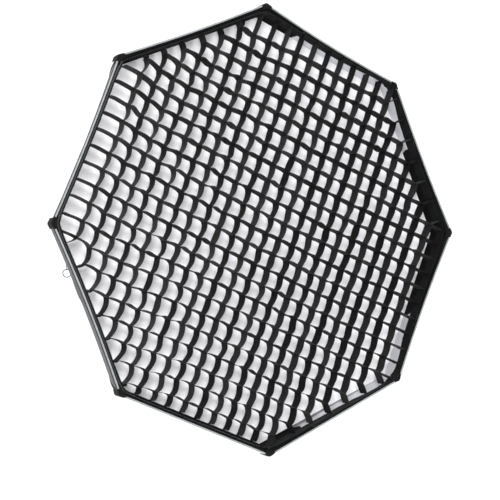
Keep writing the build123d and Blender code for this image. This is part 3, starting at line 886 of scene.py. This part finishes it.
def ringBand(name, radius, front, rear, thickness, columns, wave):
    def place(s, t):
        y = front + t * (rear - front)
        point = ringPoint(s, radius, y, pull=1.0, fill=1.0)
        outward = Vector((point.x, 0, point.z)).normalized()
        return point + outward * ripple(s * 120, t * 2, 6, 1.0, wave)

    piece = sheetFromGrid(name, columns, 6, place, size=(3.62, rear - front), closed=True)
    thicken(piece, thickness)
    smoothFaces(piece, 50)
    return piece


bandPiece = ringBand("gridBand", bandBox[1].x - 0.0008, bandBox[0].y, bandBox[1].y, 0.0012, 240, 0.0006)
finishPiece(bandPiece, "box", lipCloth, ["grid_band"])
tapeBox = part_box("grid_tape")
tapePiece = ringBand("gridHookTape", tapeBox[1].x + 0.0002, tapeBox[0].y, tapeBox[1].y, 0.0009, 160, 0.0002)
finishPiece(tapePiece, "box", hookCloth, ["grid_tape"])
print("grid made", len(riseStrips.data.polygons) + len(crossStrips.data.polygons), "faces")


# ---- rear sleeve and its strap, then the zip

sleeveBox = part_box("rear_sleeve")
sleeve = {"outer": sleeveBox[1].x, "inner": 0.0911, "rear": sleeveBox[1].y, "front": sleeveBox[0].y}


def sleevePoint(s, t):
    # gathered collar: up the speed ring, then out under the shell
    angle = 2 * math.pi * s
    pleat = 0.5 + 0.5 * math.sin(angle * 64)
    if t < 0.45:
        radius = sleeve["inner"] + 0.0005 * pleat
        y = sleeve["rear"] + (sleeve["front"] + 0.0006 - sleeve["rear"]) * (t / 0.45)
    else:
        radius = sleeve["inner"] + (sleeve["outer"] - sleeve["inner"]) * (t - 0.45) / 0.55
        y = sleeve["front"] + 0.0006 + 0.0004 * pleat * (1 - t)
    return Vector((radius * math.cos(angle), y, radius * math.sin(angle)))


sleevePiece = sheetFromGrid("rearSleeve", 384, 9, sleevePoint, size=(0.6, 0.021), closed=True)
thicken(sleevePiece, 0.0006)
smoothFaces(sleevePiece, 60)
finishPiece(sleevePiece, "box", shellCloth, ["rear_sleeve"])

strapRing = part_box("sleeve_strap")


def strapPoint(s, t):
    angle = 2 * math.pi * s
    radius = strapRing[1].x - 0.0007
    y = strapRing[0].y + t * (strapRing[1].y - strapRing[0].y)
    return Vector((radius * math.cos(angle), y, radius * math.sin(angle)))


strapPiece = sheetFromGrid("sleeveStrap", 128, 4, strapPoint, size=(0.58, 0.0034), closed=True)
thicken(strapPiece, 0.001)
smoothFaces(strapPiece, 60)
finishPiece(strapPiece, "box", webbing, ["sleeve_strap"])


# zip sewn on the lower left panel: two tapes with a nylon coil between them
zipBox = {"y": -0.26, "start": -0.116, "end": 0.174, "wide": 0.024, "lift": 0.00045, "cloth": 0.0008}
zipAngle = (zipPanel + 0.5) * sector
zipSlope = math.asin((zipBox["y"] - bendY) / shellArc)
zipOut = Vector((math.cos(zipSlope) / flatShare, math.sin(zipSlope))).normalized()
zipRadial = Vector((math.cos(zipAngle), 0, math.sin(zipAngle)))
zipAlong = Vector((-math.sin(zipAngle), 0, math.cos(zipAngle)))
zipNormal = zipRadial * zipOut.x + Vector((0, zipOut.y, 0))
zipAcross = Vector((0, zipOut.x, 0)) - zipRadial * zipOut.y
zipFoot = zipRadial * (arcRadius(shellArc, zipBox["y"]) * flatShare) + Vector((0, zipBox["y"], 0))


def zipPoint(along, across, lift):
    return zipFoot + zipAlong * along + zipAcross * across + zipNormal * lift


def tapePoint(s, t):
    along = zipBox["start"] + (zipBox["end"] - zipBox["start"]) * s
    across = (t - 0.5) * zipBox["wide"]
    rib = 0.00012 * math.sin(s * 900) if abs(t - 0.5) > 0.42 else 0
    return zipPoint(along, across, zipBox["lift"] + zipBox["cloth"] / 2 + rib)


zipTape = sheetFromGrid("zipTape", 290, 16, tapePoint, size=(0.29, 0.024))
thicken(zipTape, zipBox["cloth"])
smoothFaces(zipTape, 60)
finishPiece(zipTape, "box", zipCloth, ["zip_tape"])

coil = {"turns": 170, "steps": 12, "end": 0.004, "half": 0.0021, "tall": 0.00025, "wire": 0.00038}
coil["lift"] = 0.0019


def coilPoint(s, t):
    # flattened helix of monofilament running along the middle of the tape
    wind = 2 * math.pi * coil["turns"] * s
    along = zipBox["start"] + coil["end"] + (zipBox["end"] - zipBox["start"] - 2 * coil["end"]) * s
    ringTurn = 2 * math.pi * t
    across = coil["half"] * math.cos(wind)
    lift = coil["lift"] + coil["tall"] * math.sin(wind) + coil["wire"] * math.sin(ringTurn)
    return zipPoint(along + coil["wire"] * math.cos(ringTurn), across, lift)


coilColumns = coil["turns"] * coil["steps"]
zipCoil = sheetFromGrid("zipCoil", coilColumns, 7, coilPoint, size=(1.2, 0.003), closed=True)
smoothFaces(zipCoil, 60)
finishPiece(zipCoil, "box", coilNylon, ["zip_teeth"])
print("zip made")


# ---- floor, light and camera

clearSelection()
room = {"floor": -1.35, "y": -1.5, "wide": 40, "glow": 1.2}
bpy.ops.mesh.primitive_plane_add(size=room["wide"], location=(0, room["y"], room["floor"]))
floor = bpy.context.object
floor.name = "floor"
floorPaint = bpy.data.materials.new("palePaper")
floorPaint.use_nodes = True
floorPaint.node_tree.nodes["Principled BSDF"].inputs["Base Color"].default_value = (0.92, 0.92, 0.92, 1)
floorPaint.node_tree.nodes["Principled BSDF"].inputs["Roughness"].default_value = 0.9
floor.data.materials.append(floorPaint)

world = bpy.data.worlds.new("studio")
bpy.context.scene.world = world
world.use_nodes = True
world.node_tree.nodes["Background"].inputs["Color"].default_value = (1, 1, 1, 1)
world.node_tree.nodes["Background"].inputs["Strength"].default_value = room["glow"]
bpy.context.scene.view_settings.view_transform = "Standard"

lights = {
    "keyLight": {"place": (-1.9, -4.6, 1.5), "aim": (0, -0.45, 0), "size": 2.4, "power": 165},
    "fillLight": {"place": (1.9, -4.2, 0.2), "aim": (0, -0.45, 0), "size": 2.2, "power": 50},
    "rearLight": {"place": (1.8, 2.6, 2.2), "aim": (0, 0, 0), "size": 1.6, "power": 60},
}
for name, setting in lights.items():
    lamp = bpy.data.lights.new(name, "AREA")
    lamp.size = setting["size"]
    lamp.energy = setting["power"]
    holder = bpy.data.objects.new(name, lamp)
    bpy.context.scene.collection.objects.link(holder)
    holder.location = setting["place"]
    towards = Vector(setting["aim"]) - Vector(setting["place"])
    holder.rotation_euler = towards.to_track_quat("-Z", "Y").to_euler()

view = {
    "lens": 88.12,
    "sensor": 36,
    "place": (-1.6141, -2.8784, -0.1851),
    "aim": (0.47555, 0.87886, 0.03821),
    "roll": -0.37,
}
cameraData = bpy.data.cameras.new("camera")
cameraData.lens = view["lens"]
cameraData.sensor_width = view["sensor"]
camera = bpy.data.objects.new("camera", cameraData)
bpy.context.scene.collection.objects.link(camera)
camera.location = Vector(view["place"]) + Vector((0, piping["y"], 0))
turned = Vector(view["aim"]).to_track_quat("-Z", "Y").to_matrix().to_4x4()
camera.rotation_euler = (turned @ Matrix.Rotation(math.radians(view["roll"]), 4, "Z")).to_euler()
bpy.context.scene.camera = camera
print("stage, light and camera set")
